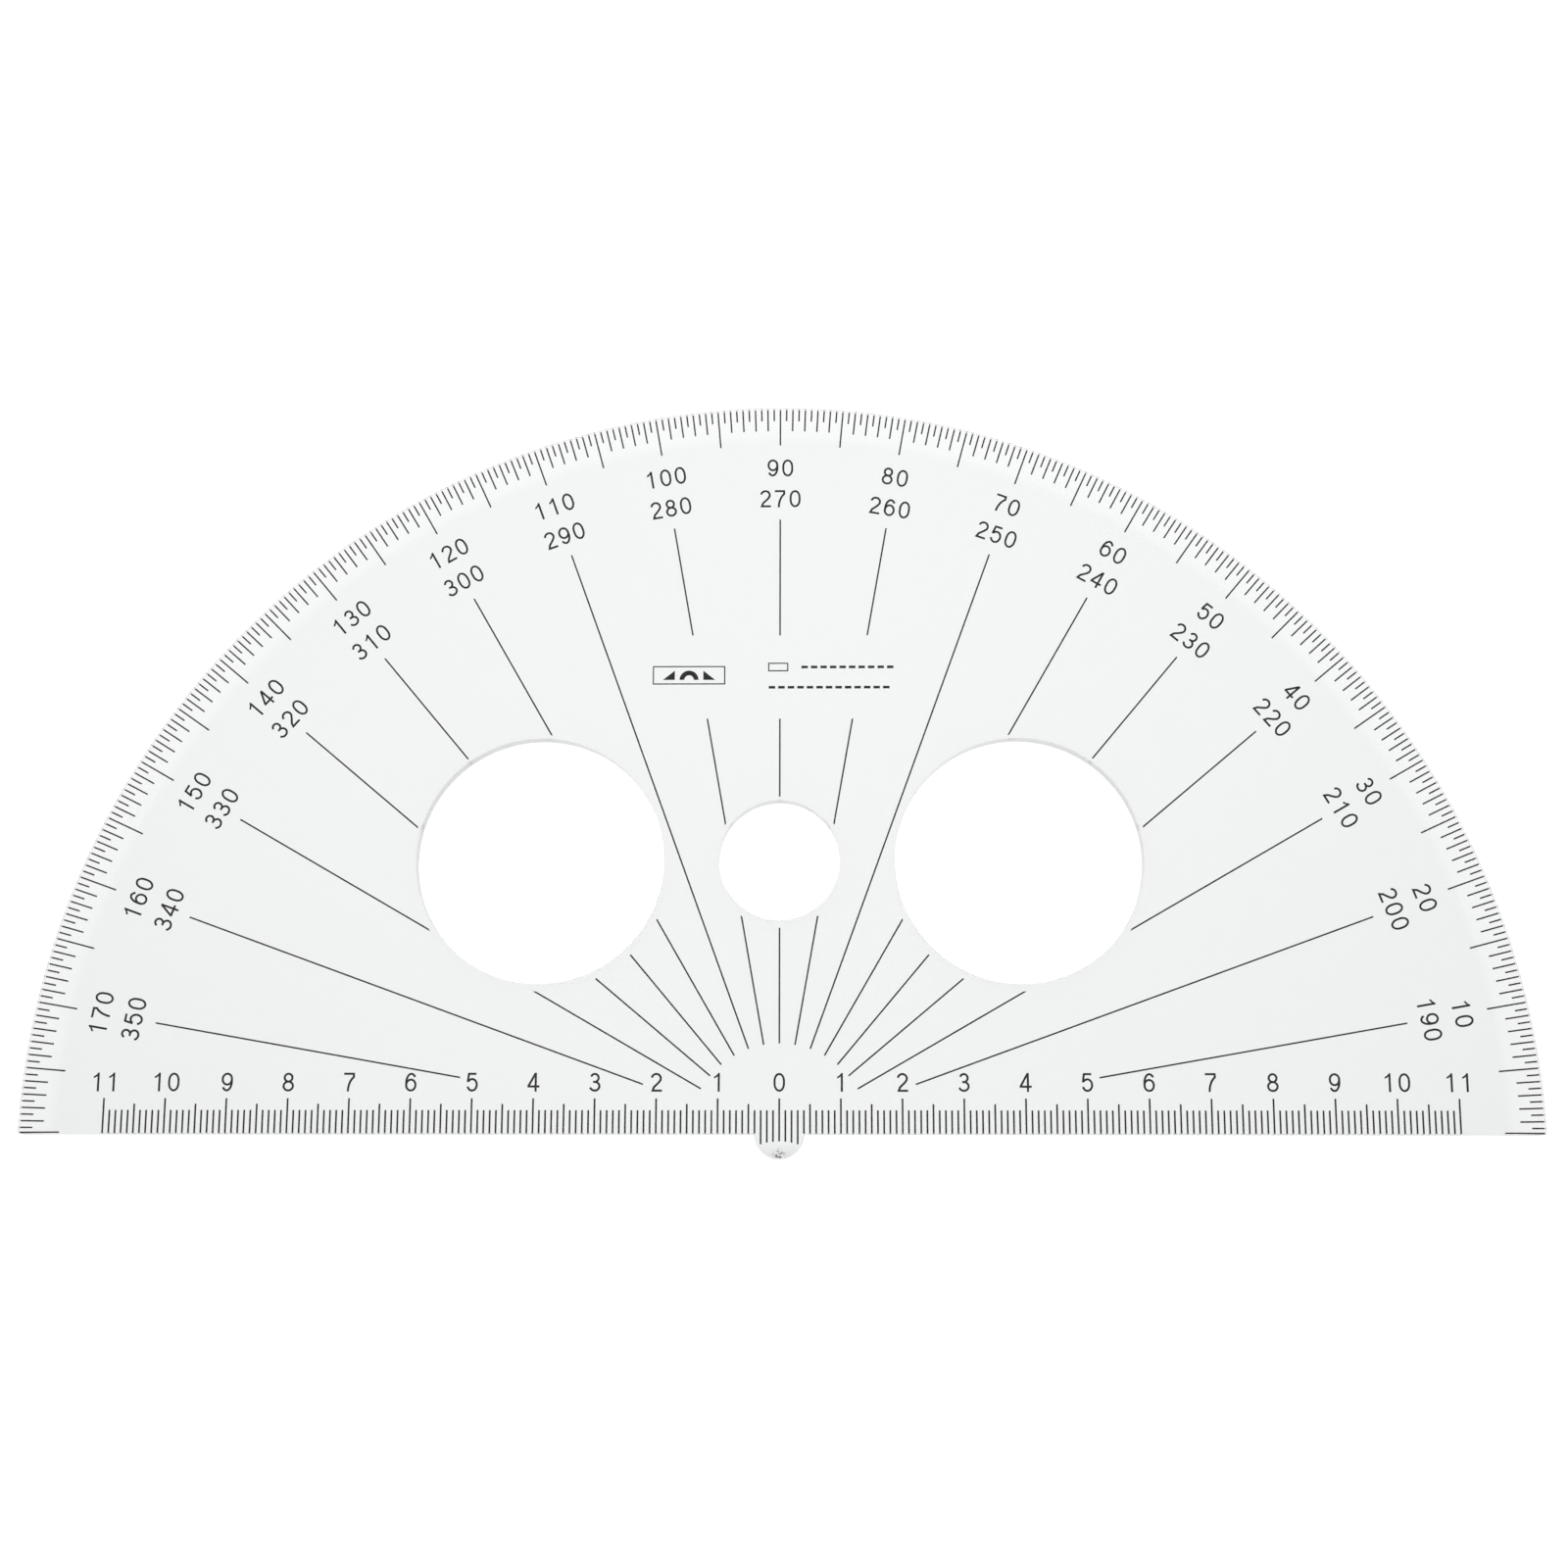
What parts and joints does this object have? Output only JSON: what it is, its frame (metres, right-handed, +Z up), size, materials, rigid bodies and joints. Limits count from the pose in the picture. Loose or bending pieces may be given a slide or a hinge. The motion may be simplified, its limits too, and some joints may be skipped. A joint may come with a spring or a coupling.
{
  "type": "protractor",
  "caption": "Flat half-round clear plastic protractor with a bevelled arc, three round holes, an index tab, a double angle scale and a centimetre ruler on its straight edge.",
  "frame": {"origin": "the index point, at the middle of the straight edge, on the underside of the plate", "axes": "+X along the straight edge towards the 0 degree mark, +Y across the plate to the 90 degree mark, +Z up out of the face that is read"},
  "size_m": [0.2472, 0.1276, 0.003],
  "materials": {
    "clear_plastic": "gloss",
    "black_ink": "matte"
  },
  "bodies": {
    "root": {"plate": "clear_plastic", "half_degree_marks": "black_ink", "degree_marks": "black_ink", "five_degree_marks": "black_ink", "ten_degree_marks": "black_ink", "angle_rays": "black_ink", "degree_numerals": "black_ink", "reflex_numerals": "black_ink", "millimetre_marks": "black_ink", "half_centimetre_marks": "black_ink", "centimetre_marks": "black_ink", "centimetre_numerals": "black_ink", "maker_badge": "black_ink", "maker_lines": "black_ink"}
  },
  "joints": []
}
